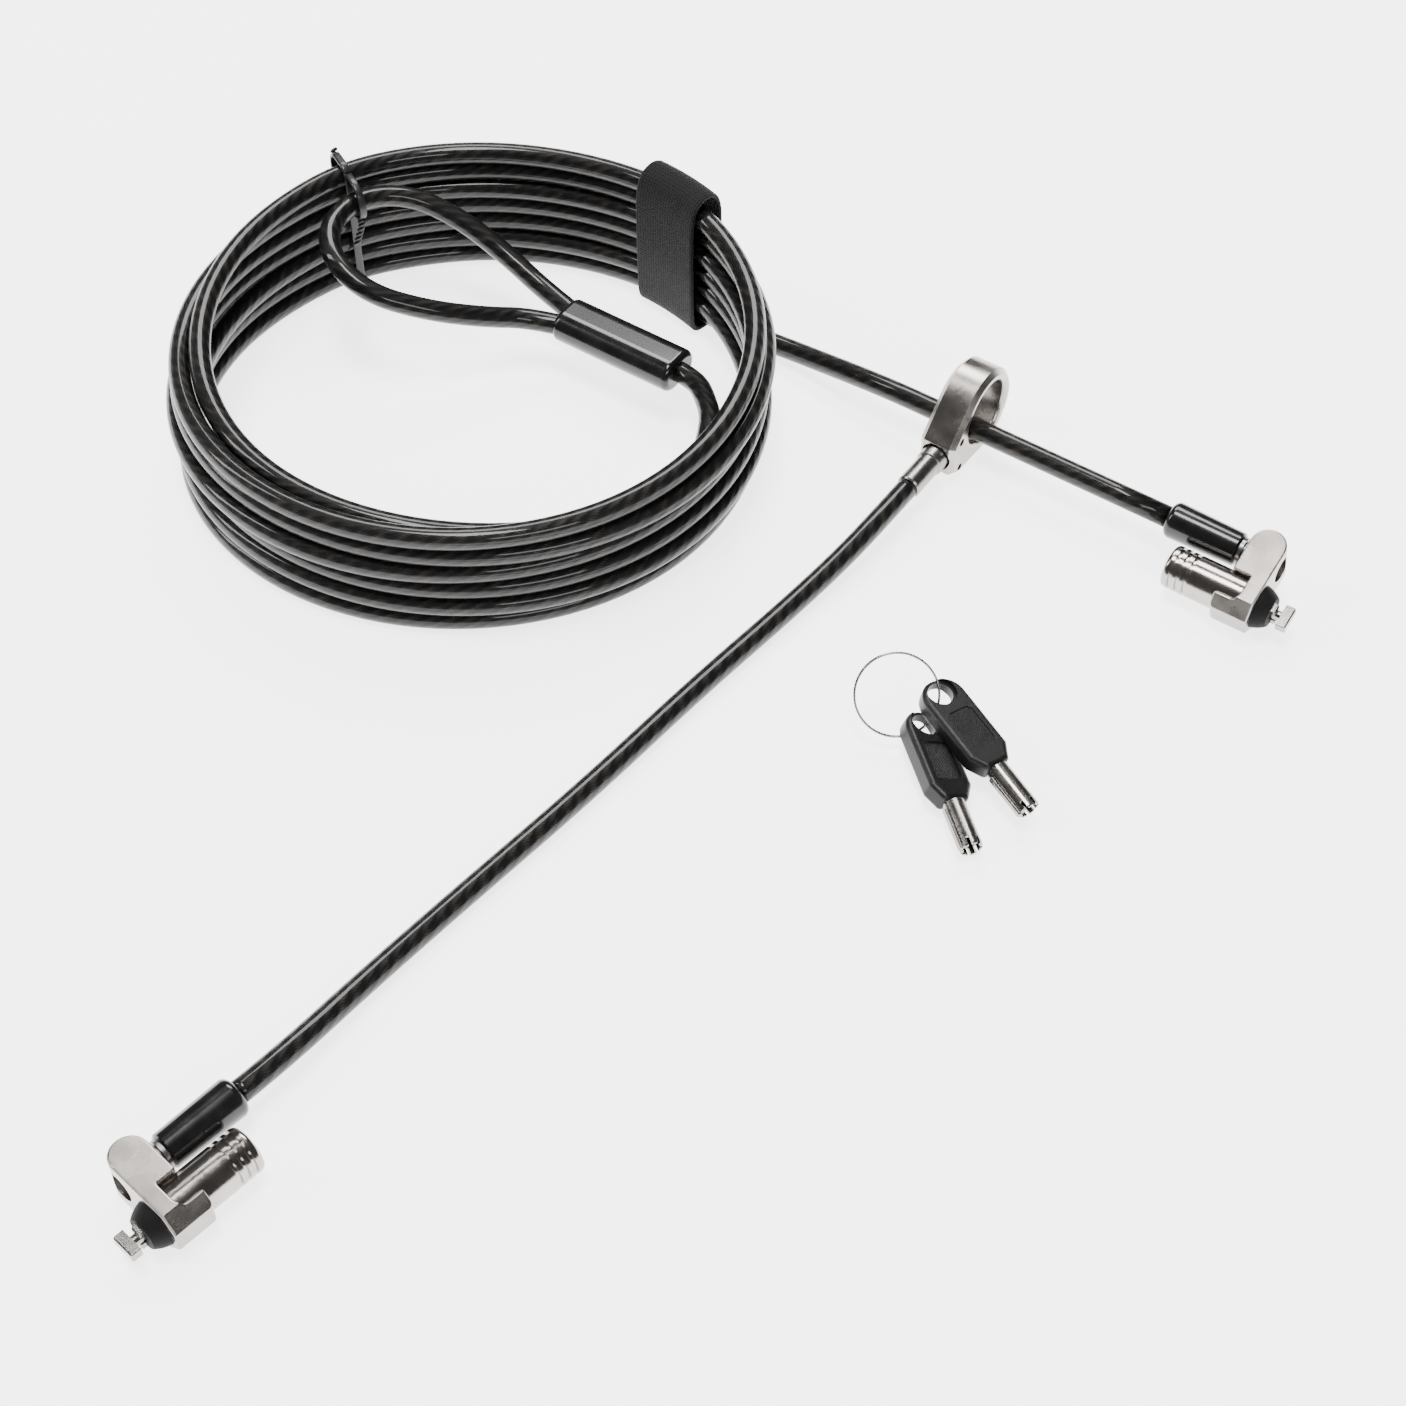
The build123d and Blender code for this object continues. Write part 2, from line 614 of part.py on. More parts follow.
def cable_tie():
    """Twist tie round the bundle and the side of the loop, with its twisted end inside."""
    outside = COIL_OUT + 0.5
    inside = -COIL_IN - 0.4
    top = COIL_BACK_H + TIE_T
    outline = [
        (outside, 0.1), (outside, top), (inside, top), (-13.4, 37.4), (-13.4, 28.2),
        (inside, 20.0), (inside, 0.1),
    ]
    with BuildPart() as tie:
        with BuildSketch(bundle_plane(TIE_TURN).offset(-TIE_WIDTH / 2)):
            with BuildLine():
                Polyline(*outline, close=True)
            make_face()
            offset(amount=-TIE_T, mode=Mode.SUBTRACT)
        extrude(amount=TIE_WIDTH)
        with BuildSketch(bundle_plane(TIE_TURN).offset(-TIE_WIDTH / 2)):
            with Locations((outside - 0.2, top - 1.0)):
                Circle(1.3)
        extrude(amount=TIE_WIDTH)
    return tie.part


def cable_coil(strap, tie, run):
    """Outer shape of the coil's seven turns, closed, with room for its strap and tie."""
    with BuildPart() as coil:
        with BuildSketch(Plane.XY):
            with Locations((COIL_X, COIL_Y)):
                Ellipse(COIL_A + COIL_OUT, COIL_B + COIL_OUT)
            inner_b = COIL_B - (COIL_IN + COIL_FRONT_IN) / 2
            with Locations((COIL_X, COIL_Y + (COIL_FRONT_IN - COIL_IN) / 2)):
                Ellipse(COIL_A - 5.6, inner_b, mode=Mode.SUBTRACT)
        extrude(amount=COIL_BACK_H)
        slope = (COIL_BACK_H - COIL_FRONT_H) / (2 * COIL_B)
        middle = (COIL_BACK_H + COIL_FRONT_H) / 2
        top_cut = Plane(origin=(COIL_X, COIL_Y, middle), x_dir=(1, 0, 0), z_dir=(0, -slope, 1))
        split(bisect_by=top_cut, keep=Keep.BOTTOM)
        rims = coil.edges().filter_by(lambda edge: edge.length > 100)
        fillet(rims, radius=1.8)
        add(strap, mode=Mode.SUBTRACT)
        add(tie, mode=Mode.SUBTRACT)
        add(run, mode=Mode.SUBTRACT)
    # The strap pulls the turns together, so what is left outside its band goes.
    return coil.part.solids().sort_by(SortBy.VOLUME)[-1]


# ---- keys -------------------------------------------------------------------------------------
def key_bow():
    """Moulded bow: rounded plate, dished round the ring hole, with a collar on the tube."""
    half = BOW_WIDTH / 2
    with BuildPart() as bow:
        with BuildSketch(Plane.XY.offset(-BOW_T / 2)):
            with BuildLine():
                Polyline((half, half), (BOW_LENGTH - 4, half), (BOW_LENGTH, 3.0),
                         (BOW_LENGTH, -3.0), (BOW_LENGTH - 4, -half), (half, -half))
                ThreePointArc((half, -half), (0, 0), (half, half))
            make_face()
        extrude(amount=BOW_T)
        fillet(bow.edges(), radius=1.2)
        for side in (Plane.XY.offset(BOW_WEB / 2), Plane.XY.offset(-BOW_T / 2)):
            with BuildSketch(side):
                with Locations((BOW_HOLE_X, 0)):
                    Circle(BOW_HOLE_R + 0.8)
            extrude(amount=(BOW_T - BOW_WEB) / 2, mode=Mode.SUBTRACT)
        with BuildSketch(Plane.XY.offset(-BOW_T / 2)):
            with Locations((BOW_HOLE_X, 0)):
                Circle(BOW_HOLE_R)
        extrude(amount=BOW_T, mode=Mode.SUBTRACT)
        middle, length, width, depth = BOW_FIELD
        for side in (Plane.XY.offset(BOW_T / 2 - depth), Plane.XY.offset(-BOW_T / 2)):
            with BuildSketch(side):
                with Locations((middle, 0)):
                    RectangleRounded(length, width, 1.4)
            extrude(amount=depth, mode=Mode.SUBTRACT)
        with BuildSketch(Plane.YZ.offset(BOW_LENGTH - KEY_SHANK_LENGTH)):
            Circle(KEY_SHANK_R)
        extrude(amount=KEY_SHANK_LENGTH, mode=Mode.SUBTRACT)
    return bow.part


def key_tube():
    """Tubular steel key blade, with its end notches and side rib."""
    end = BOW_LENGTH + KEY_TUBE_LENGTH
    notch_depth, notch_width, notch_length = KEY_NOTCH
    with BuildPart() as tube:
        with BuildSketch(Plane.YZ.offset(BOW_LENGTH - KEY_SHANK_LENGTH)):
            Circle(KEY_SHANK_R)
        extrude(amount=KEY_SHANK_LENGTH)
        with BuildSketch(Plane.YZ.offset(BOW_LENGTH)):
            Circle(KEY_TUBE_R)
        extrude(amount=KEY_TUBE_LENGTH)
        chamfer(tube.edges().group_by(Axis.X)[-1], length=0.3)
        with BuildSketch(Plane.YZ.offset(BOW_LENGTH + 1.0)):
            Circle(KEY_TUBE_BORE_R)
        extrude(amount=KEY_TUBE_LENGTH, mode=Mode.SUBTRACT)
        with BuildSketch(Plane.YZ.offset(end - notch_length)):
            with PolarLocations(KEY_TUBE_R, TUMBLERS, start_angle=25):
                Rectangle(notch_depth, notch_width)
        extrude(amount=notch_length + 1, mode=Mode.SUBTRACT)
        with BuildSketch(Plane.YZ.offset(BOW_LENGTH + 1.5)):
            with Locations((-KEY_TUBE_R - 0.1, 0)):
                Rectangle(0.9, 1.0)
        extrude(amount=KEY_TUBE_LENGTH - 1.5)
    return tube.part


def ring_point(turn):
    """Point of the split ring's wire centre and the wire's direction there."""
    angle = radians(turn)
    tilt = radians(RING_TILT)
    point = Vector(*RING_AT) + RING_R * Vector(cos(angle), sin(angle) * cos(tilt),
                                               sin(angle) * sin(tilt))
    along = Vector(-sin(angle), cos(angle) * cos(tilt), cos(angle) * sin(tilt))
    return point, along


def key_ring():
    """Split ring of steel wire."""
    tilt = radians(RING_TILT)
    plane = Plane(origin=RING_AT, x_dir=(1, 0, 0), z_dir=(0, -sin(tilt), cos(tilt)))
    with BuildPart() as ring:
        with BuildSketch(Plane(origin=plane.origin, x_dir=plane.x_dir, z_dir=-plane.y_dir)):
            with Locations((RING_R, 0)):
                Circle(RING_WIRE_R)
        revolve(axis=Axis(plane.origin, plane.z_dir))
    return ring.part


def key_place(turn, tip, roll):
    """Location that hangs a key's hole on the ring and points its tip at a place."""
    hole, _ = ring_point(turn)
    ahead = (Vector(*tip) - hole).normalized()
    side = Vector(0, 0, 1).cross(ahead).normalized()
    up = ahead.cross(side).rotate(Axis((0, 0, 0), ahead), roll)
    frame = Plane(origin=hole, x_dir=ahead, z_dir=up)
    return Location(frame) * Location((-BOW_HOLE_X, 0, 0))


# ---- build and write ----------------------------------------------------------------------------
os.makedirs("parts", exist_ok=True)

rolled = Location((0, 0, 0), (180 + HEAD_A_ROLL, 0, 0))
head_places = {
    "head_a": Location((*HEAD_A_AT, RUN_Z), (0, 0, RUN_ANGLE)) * rolled,
    "head_b": Location((*HEAD_B_AT, COLLAR_H / 2), (0, 0, HEAD_B_ANGLE)),
}
for head, place in head_places.items():
    for piece_name, make in HEAD_PIECES.items():
        save(make().moved(place), f"{head}_{piece_name}")

trap_place = Location((*TRAP_AT, 0), (0, 0, RUN_ANGLE))
save(trap_body().moved(trap_place), "trap_body")
save(trap_roll_pins().moved(trap_place), "trap_roll_pins")
save(trap_swivel().moved(trap_place), "trap_swivel")

sleeve_place = Location(SLEEVE_AT, (0, 0, SLEEVE_ANGLE))
sleeve_along = Vector(cos(radians(SLEEVE_ANGLE)), sin(radians(SLEEVE_ANGLE)), 0)
sleeve_half = sleeve_along * (SLEEVE_LENGTH / 2)
loop_face = Plane(origin=Vector(*SLEEVE_AT) + sleeve_half, z_dir=sleeve_along)
tail_face = Plane(origin=Vector(*SLEEVE_AT) - sleeve_half, z_dir=-sleeve_along)
save(loop_sleeve().moved(sleeve_place), "loop_sleeve")
save(loop_crimp().moved(sleeve_place), "loop_crimp")

strap_part = cable_strap()
tie_part = cable_tie()
run_part = cable_tube(RUN_ROUTE, "run")
coil_part = cable_coil(strap_part, tie_part, run_part)
save(coil_part, "main_cable_coil")
save(strap_part, "cable_strap")
save(tie_part, "cable_tie")
save(run_part, "main_cable_run")
save(cable_tube(TAIL_ROUTE, "tail", tail_face, coil_part), "main_cable_tail")
save(cable_tube(LOOP_ROUTE, "loop", loop_face), "loop_cable")
save(cable_tube(SECOND_ROUTE, "second"), "second_cable")

save(key_ring(), "key_ring")
KEYS = {
    "key_1": key_place(KEY_1_ON_RING, (60.0, -38.0, 4.6), -6),
    "key_2": key_place(KEY_2_ON_RING, (46.0, -44.5, 3.2), -22),
}
for key, place in KEYS.items():
    save(key_bow().moved(place), f"{key}_bow")
    save(key_tube().moved(place), f"{key}_tube")
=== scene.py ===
"""Looks of a two-headed keyed laptop cable lock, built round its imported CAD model."""

from math import cos, exp, hypot, pi, radians, sin

import bpy
from mathutils import Matrix, Vector


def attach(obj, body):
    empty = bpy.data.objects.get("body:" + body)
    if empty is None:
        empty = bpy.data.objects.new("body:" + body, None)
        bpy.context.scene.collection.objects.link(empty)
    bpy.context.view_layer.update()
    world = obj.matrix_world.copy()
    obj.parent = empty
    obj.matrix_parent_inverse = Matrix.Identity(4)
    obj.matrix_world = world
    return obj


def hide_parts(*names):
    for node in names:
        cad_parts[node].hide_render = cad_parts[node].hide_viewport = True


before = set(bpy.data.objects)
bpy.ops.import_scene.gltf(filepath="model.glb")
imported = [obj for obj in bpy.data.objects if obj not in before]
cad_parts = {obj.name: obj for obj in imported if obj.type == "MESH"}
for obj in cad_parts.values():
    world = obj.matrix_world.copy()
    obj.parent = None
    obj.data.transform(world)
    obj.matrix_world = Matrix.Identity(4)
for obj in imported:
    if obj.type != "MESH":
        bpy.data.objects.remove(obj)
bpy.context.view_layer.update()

MM = 0.001
MIDDLE = Vector((0.35, -1.2, 0.0))      # the set's middle is the origin, in CAD and here
CABLE_R = 2.65
LAYER = 5.35


def at(x, y, z):
    """A place of the laid-out lock, given in millimetres, as a point of the frame in metres."""
    return (Vector((x, y, z)) + MIDDLE) * MM


# ---- camera, floor and light ----------------------------------------------------------------
def add_camera():
    data = bpy.data.cameras.new("view")
    data.lens = 66.57
    data.sensor_width = 36.0
    data.clip_start = 0.01
    camera = bpy.data.objects.new("view", data)
    camera.location = (-0.0107, -0.3818, 0.450)
    camera.rotation_euler = (radians(40), 0, 0)
    bpy.context.scene.collection.objects.link(camera)
    bpy.context.scene.camera = camera


def add_light(name, place, aim, size, watts, colour=(1, 1, 1)):
    data = bpy.data.lights.new(name, "AREA")
    data.shape = "RECTANGLE"
    data.size, data.size_y = size
    data.energy = watts
    data.color = colour
    light = bpy.data.objects.new(name, data)
    light.location = place
    light.rotation_euler = (Vector(aim) - Vector(place)).to_track_quat("-Z", "Y").to_euler()
    bpy.context.scene.collection.objects.link(light)


def add_world():
    world = bpy.data.worlds.new("studio")
    world.use_nodes = True
    back = world.node_tree.nodes["Background"]
    back.inputs["Color"].default_value = (1.0, 1.0, 1.0, 1)
    back.inputs["Strength"].default_value = 0.10
    bpy.context.scene.world = world


# ---- material helpers -----------------------------------------------------------------------
class Look:
    """A node material being made: its principled shader and short calls for common nodes."""

    def __init__(self, name, **sockets):
        self.mat = bpy.data.materials.new(name)
        self.mat.use_nodes = True
        self.tree = self.mat.node_tree
        self.shader = self.tree.nodes["Principled BSDF"]
        for socket, value in sockets.items():
            self.shader.inputs[socket.replace("_", " ")].default_value = value

    def node(self, kind, settings=None, **inputs):
        made = self.tree.nodes.new("ShaderNode" + kind)
        for key, value in (settings or {}).items():
            setattr(made, key, value)
        for key, value in inputs.items():
            self.put(made.inputs[key.replace("_", " ")], value)
        return made

    def put(self, socket, value):
        if hasattr(value, "is_output"):
            self.tree.links.new(value, socket)
        else:
            socket.default_value = value

    def math(self, operation, *values):
        made = self.tree.nodes.new("ShaderNodeMath")
        made.operation = operation
        for socket, value in zip(made.inputs, values):
            self.put(socket, value)
        return made.outputs[0]

    def coords(self):
        return self.node("TexCoord").outputs["Object"]

    def uv(self):
        made = self.node("UVMap", {"uv_map": "surface"})
        split = self.node("SeparateXYZ", Vector=made.outputs[0])
        return split.outputs[0], split.outputs[1]

    def noise(self, scale, detail=2.0, vector=None, roughness=0.5):
        made = self.node("TexNoise", Scale=scale, Detail=detail, Roughness=roughness)
        self.put(made.inputs["Vector"], vector or self.coords())
        return made.outputs["Fac"]

    def span(self, value, low, high, to_low, to_high):
        made = self.node("MapRange", {"clamp": True}, Value=value)
        for socket, number in zip(list(made.inputs)[1:5], (low, high, to_low, to_high)):
            socket.default_value = number
        return made.outputs[0]

    def blend(self, amount, low, high):
        made = self.node("Mix", {"data_type": "RGBA"})
        self.put(made.inputs[0], amount)
        self.put(made.inputs[6], low)
        self.put(made.inputs[7], high)
        return made.outputs[2]

    def colour(self, value):
        self.put(self.shader.inputs["Base Color"], value)

    def rough(self, value):
        self.put(self.shader.inputs["Roughness"], value)

    def bump(self, height, strength, distance, normal=None):
        made = self.node("Bump", Strength=strength, Distance=distance, Height=height)
        if normal:
            self.put(made.inputs["Normal"], normal)
        self.put(self.shader.inputs["Normal"], made.outputs[0])


def grey(value):
    return (value, value, value, 1)


def metal_look(name, colour, rough, spread=0.05, edge=0.15):
    """Plated or bright metal: faint clouding, fine grain and slightly rounded edges."""
    look = Look(name, Metallic=1.0)
    cloud = look.noise(160.0, 3.0)
    dark = tuple(c * 0.86 for c in colour[:3]) + (1,)
    look.colour(look.blend(look.span(cloud, 0.35, 0.65, 0, 1), dark, colour))
    fine = look.noise(9000.0, 2.0)
    rough_value = look.math("ADD", look.span(cloud, 0.3, 0.7, rough - spread, rough + spread),
                            look.math("MULTIPLY", fine, 0.05))
    look.rough(rough_value)
    rounded = look.node("Bevel", {"samples": 4}, Radius=edge * MM)
    look.bump(fine, 0.06, 0.0002, rounded.outputs[0])
    return look.mat


def gloss_look(name, colour, rough, coat):
    """Glossy moulding: deep black with a faint flow texture."""
    look = Look(name, Coat_Weight=coat, Coat_Roughness=0.06, Specular_IOR_Level=0.25)
    flow = look.noise(220.0, 3.0)
    look.colour(look.blend(look.span(flow, 0.3, 0.7, 0, 1), colour,
                           tuple(c * 1.9 for c in colour[:3]) + (1,)))
    look.rough(look.span(flow, 0.3, 0.7, rough, rough + 0.08))
    look.bump(look.noise(1500.0, 2.0), 0.015, 0.0002)
    return look.mat


def rubber_look():
    look = Look("rubber", Specular_IOR_Level=0.08, Sheen_Weight=0.02, Sheen_Roughness=0.5)
    grit = look.noise(5200.0, 3.0)
    look.colour(look.blend(look.span(grit, 0.3, 0.7, 0, 1), grey(0.003), grey(0.009)))
    look.rough(look.span(grit, 0.3, 0.7, 0.5, 0.75))
    look.bump(grit, 0.25, 0.0002)
    return look.mat


def cable_look():
    """Clear sheath over a steel rope, under a smooth gloss: the helical strand crowns get a painted
    glint, a lighter brownish base colour, together with some real metal and lower roughness.
    """
    look = Look("cable", Coat_Weight=0.55, Coat_Roughness=0.07, Coat_IOR=1.4,
                Specular_IOR_Level=0.15)
    along, around = look.uv()
    strands, lay = 8, 0.034
    turn = look.math("ADD", look.math("MULTIPLY", around, strands),
                     look.math("MULTIPLY", along, strands / lay))
    strand = look.math("SINE", look.math("MULTIPLY", turn, 2 * pi))
    wires = look.math("SUBTRACT", look.math("MULTIPLY", around, 30),
                      look.math("MULTIPLY", along, 560.0))
    wire = look.math("SINE", look.math("MULTIPLY", wires, 2 * pi))
    crown = look.span(strand, -0.2, 0.95, 0, 1)
    thread = look.span(wire, -0.6, 0.9, 0.25, 1.0)
    patch = look.span(look.noise(340.0, 3.0), 0.45, 0.66, 0.0, 1.0)
    # Mask of the strand crowns, thinned by the wires and broken into patches. It paints a glint
    # into the base colour, brownish (0.034, 0.026, 0.019) over the near-black, and also sets real
    # metal and roughness.
    strand_metal_and_painted_glint = look.math("MULTIPLY", look.math("MULTIPLY", crown, thread), patch)
    look.colour(look.blend(strand_metal_and_painted_glint, (0.0012, 0.0011, 0.001, 1), (0.034, 0.026, 0.019, 1)))
    look.put(look.shader.inputs["Metallic"], look.math("MULTIPLY", strand_metal_and_painted_glint, 0.3))
    look.rough(look.span(strand_metal_and_painted_glint, 0, 1, 0.5, 0.36))
    relief = look.math("ADD", strand, look.math("MULTIPLY", wire, 0.25))
    look.bump(relief, 0.2, 0.0003)
    return look.mat


def strap_look():
    """Close-woven band: a fine grid of warp and weft with a soft sheen."""
    look = Look("strap", Specular_IOR_Level=0.12, Sheen_Weight=0.06, Sheen_Roughness=0.45)
    along, across = look.uv()
    warp = look.math("SINE", look.math("MULTIPLY", across, 2 * pi / 0.00082))
    weft = look.math("SINE", look.math("MULTIPLY", along, 2 * pi / 0.00082))
    knots = look.math("MULTIPLY", warp, weft)
    ridges = look.math("MAXIMUM", look.math("MULTIPLY", warp, 0.6), knots)
    fuzz = look.noise(2600.0, 4.0, roughness=0.7)
    tone = look.math("MULTIPLY", look.span(ridges, -0.6, 0.9, 0.15, 1.0),
                     look.span(fuzz, 0.3, 0.7, 0.6, 1.0))
    look.colour(look.blend(tone, grey(0.003), (0.022, 0.022, 0.024, 1)))
    look.rough(look.span(fuzz, 0.3, 0.7, 0.75, 0.95))
    look.bump(look.math("ADD", ridges, look.math("MULTIPLY", fuzz, 0.8)), 0.55, 0.00022)
    return look.mat


def bow_look(name, place):
    """Moulded key bow: fine raised dots on its two faces, smooth round the rim and neck."""
    look = Look(name, Specular_IOR_Level=0.3)
    here = look.node("Mapping", {"vector_type": "TEXTURE"}, Vector=look.coords(),
                     Location=place.to_translation(), Rotation=place.to_euler())
    local = look.node("SeparateXYZ", Vector=here.outputs[0])
    x, y, z = local.outputs
    side = look.math("ABSOLUTE", y)
    face = look.math("GREATER_THAN", look.math("ABSOLUTE", z), 0.0021)
    field = look.math("MULTIPLY", look.span(side, 0.0030, 0.0033, 1, 0),
                      look.span(x, 0.0096, 0.0100, 0, 1))
    field = look.math("MULTIPLY", field, look.span(x, 0.0192, 0.0196, 1, 0))
    field = look.math("MULTIPLY", field, face)
    row = look.math("SINE", look.math("MULTIPLY", x, 2 * pi / 0.00062))
    column = look.math("SINE", look.math("MULTIPLY", y, 2 * pi / 0.00062))
    dots = look.math("MULTIPLY", look.span(look.math("MULTIPLY", row, column), 0, 0.8, 0, 1),
                     field)
    skin = look.noise(4200.0, 3.0)
    look.colour(look.blend(look.math("MAXIMUM", dots, look.math("MULTIPLY", skin, 0.3)),
                           grey(0.003), grey(0.014)))
    look.rough(look.span(skin, 0.3, 0.7, 0.32, 0.48))
    height = look.math("ADD", dots, look.math("MULTIPLY", skin, 0.25))
    look.bump(height, 0.5, 0.0003)
    return look.mat


def floor_look():
    look = Look("floor", Specular_IOR_Level=0.1, Emission_Strength=3.1)
    look.put(look.shader.inputs["Emission Color"], (1, 1, 1, 1))
    look.colour((0.93, 0.93, 0.93, 1))
    look.rough(0.9)
    return look.mat


# ---- mesh helpers -----------------------------------------------------------------------------
def mesh_piece(name, points, faces, corners_uv, mat):
    """A mesh object from points in metres, with one UV pair for each face corner."""
    mesh = bpy.data.meshes.new(name)
    mesh.from_pydata([tuple(p) for p in points], [], faces)
    layer = mesh.uv_layers.new(name="surface")
    flat = [pair for face in corners_uv for pair in face]
    for corner, pair in zip(layer.data, flat):
        corner.uv = pair
    mesh.polygons.foreach_set("use_smooth", [True] * len(mesh.polygons))
    mesh.materials.append(mat)
    mesh.update()
    piece = bpy.data.objects.new(name, mesh)
    bpy.context.scene.collection.objects.link(piece)
    return piece


def smooth_line(name, points, resolution=10):
    """Points along a smooth line that has these control points."""
    curve = bpy.data.curves.new(name, "CURVE")
    curve.dimensions = "3D"
    curve.resolution_u = resolution
    spline = curve.splines.new("NURBS")
    spline.points.add(len(points) - 1)
    for spot, point in zip(spline.points, points):
        spot.co = (*point, 1.0)
    spline.order_u = 3
    spline.use_endpoint_u = True
    guide = bpy.data.objects.new(name, curve)
    bpy.context.scene.collection.objects.link(guide)
    graph = bpy.context.evaluated_depsgraph_get()
    mesh = bpy.data.meshes.new_from_object(guide.evaluated_get(graph))
    line = [v.co.copy() for v in mesh.vertices]
    bpy.data.meshes.remove(mesh)
    bpy.data.objects.remove(guide)
    bpy.data.curves.remove(curve)
    return line


def section_frames(line):
    """Position, two section directions and length so far for each point of a line."""
    frames = []
    length = 0.0
    ahead = (line[1] - line[0]).normalized()
    side = ahead.cross(Vector((0, 0, 1))).normalized()
    for i, point in enumerate(line):
        before = line[max(i - 1, 0)]
        after = line[min(i + 1, len(line) - 1)]
        new_ahead = (after - before).normalized()
        side = ahead.rotation_difference(new_ahead) @ side
        side = (side - new_ahead * side.dot(new_ahead)).normalized()
        ahead = new_ahead
        if i:
            length += (point - line[i - 1]).length
        frames.append((point, side, ahead.cross(side), length))
    return frames


def tube_piece(name, line, radius, mat, sides):
    """A round tube along a line, with UVs of length in metres and turn round the tube."""
    frames = section_frames(line)
    points, faces, uvs = [], [], []
    for centre, side, other, _ in frames:
        for j in range(sides):
            angle = 2 * pi * j / sides
            points.append(centre + (side * cos(angle) + other * sin(angle)) * radius)
    for i in range(len(frames) - 1):
        for j in range(sides):
            k = (j + 1) % sides
            faces.append((i * sides + j, i * sides + k, (i + 1) * sides + k, (i + 1) * sides + j))
            low, high = frames[i][3], frames[i + 1][3]
            v0, v1 = j / sides, (j + 1) / sides
            uvs.append(((low, v0), (low, v1), (high, v1), (high, v0)))
    last = (len(frames) - 1) * sides
    faces.append(tuple(range(sides - 1, -1, -1)))
    uvs.append(((0.0, 0.5),) * sides)
    faces.append(tuple(range(last, last + sides)))
    uvs.append(((frames[-1][3], 0.5),) * sides)
    return mesh_piece(name, points, faces, uvs, mat)


# ---- cables -------------------------------------------------------------------------------------
RUN_ROUTE = [
    (98.65, 45.42, 10.0), (47.0, 81.05, 10.0), (33.5, 90.36, 10.0), (12.0, 110.2, 3.6),
    (-6.0, 120.6, 3.3),
]
TAIL_ROUTE = [
    (-9.0, 71.5, 16.4), (-10.4, 81.0, 14.6), (-12.6, 88.8, 13.3), (-17.0, 92.45, 13.0),
]
LOOP_ROUTE = [
    (-43.39, 113.74, 13.0), (-50.8, 121.0, 14.0), (-60.6, 129.4, 18.6), (-72.0, 135.9, 24.8),
    (-85.0, 139.0, 30.3), (-97.5, 135.0, 32.4), (-104.1, 123.8, 32.6), (-101.95, 112.2, 31.2),
    (-92.7, 104.9, 27.0), (-78.7, 105.0, 21.6), (-65.0, 108.0, 16.8), (-54.4, 111.4, 13.6),
    (-46.3, 109.18, 13.0),
]
SECOND_ROUTE = [
    (37.869, 58.385, 7.0), (31.07, 48.53, 7.0), (21.6, 37.4, 4.6), (8.0, 22.4, 2.8),
    (-12.5, -0.8, 2.7), (-36.5, -30.2, 2.7), (-61.6, -58.4, 2.7), (-80.8, -80.6, 2.9),
    (-94.95, -100.33, 6.0), (-103.26, -109.0, 6.0),
]
COIL_X, COIL_Y = -67.0, 85.0
COIL_A, COIL_B = 69.5, 65.0
COIL_START, COIL_END, COIL_STEP = 45, 2490, 15
SLIDE_FROM, SLIDE_TO = 2250, 2400       # where the last turn slips inside the one below it
SLIDE_GAP = 5.45                        # between the centres of those two turns
TAIL_Z, TAIL_IN = 15.4, -6.4            # where the last turn hands over to the tail
STRAP_TURN, TIE_TURN = 44, 120


def eased(value):
    value = min(max(value, 0.0), 1.0)
    return value * value * (3 - 2 * value)


def sideways(turn):
    """How far a turn strays outwards from the others, in millimetres."""
    t = radians(turn)
    stray = 0.85 * sin(0.618 * t + 0.9) + 0.55 * sin(1.37 * t + 2.2) + 0.25 * sin(2.3 * t)
    near_strap = exp(-(((turn - STRAP_TURN + 180) % 360 - 180) / 26) ** 2)
    near_tie = exp(-(((turn - TIE_TURN + 180) % 360 - 180) / 14) ** 2)
    return stray * (1 - 0.55 * near_strap - 0.4 * near_tie)


def height(turn):
    """Height of the cable's centre on its way round the coil, stacked turn by turn."""
    turns = (turn - 30) / 360
    level = int(turns // 1)
    climb = eased((turn - 30 - 360 * level - 270) / 90)
    strap = 1.75 * exp(-(((turn - STRAP_TURN + 180) % 360 - 180) / 15) ** 2)
    tie = 0.95 * exp(-(((turn - TIE_TURN + 180) % 360 - 180) / 8) ** 2)
    return CABLE_R + 0.02 + LAYER * (level + climb) + max(strap, tie)


def coil_point(turn):
    out, z = sideways(turn), height(turn)
    if turn > SLIDE_FROM:
        below_out, below_z = sideways(turn - 360), height(turn - 360)
        lean = radians(90 + 98 * eased((turn - SLIDE_FROM) / (SLIDE_TO - SLIDE_FROM)))
        out = below_out + SLIDE_GAP * cos(lean)
        z = below_z + SLIDE_GAP * sin(lean)
        if turn > SLIDE_TO - 20:
            drop = eased((turn - SLIDE_TO + 20) / (COIL_END + 50 - SLIDE_TO))
            z += (TAIL_Z - z) * drop
            out += (TAIL_IN - out) * eased((turn - SLIDE_TO + 20) / 60)
    spread = 1 / cos(radians(COIL_STEP / 2))
    t = radians(turn)
    return at(COIL_X + (COIL_A + out) * spread * cos(t),
              COIL_Y + (COIL_B + out) * spread * sin(t), z)


def add_cables(mat):
    main_route = [at(*p) for p in RUN_ROUTE]
    main_route += [coil_point(turn) for turn in range(COIL_START, COIL_END + 1, COIL_STEP)]
    main_route += [at(*p) for p in TAIL_ROUTE]
    for name, route, body, nodes, length, lay in (
        ("main_cable", main_route, "main_cable",
         ("main_cable_run", "main_cable_coil", "main_cable_tail"), 3.06, "coiled"),
        ("end_loop", [at(*p) for p in LOOP_ROUTE], "main_cable", ("loop_cable",), 0.150, "loose"),
        ("second_cable_look", [at(*p) for p in SECOND_ROUTE], "second_cable",
         ("second_cable",), 0.219, "loose"),
    ):
        line = smooth_line(name + "_line", route, 8 if name == "main_cable" else 14)
        piece = tube_piece(name, line, CABLE_R * MM, mat, sides=24)
        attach(piece, body)
        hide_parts(*nodes)


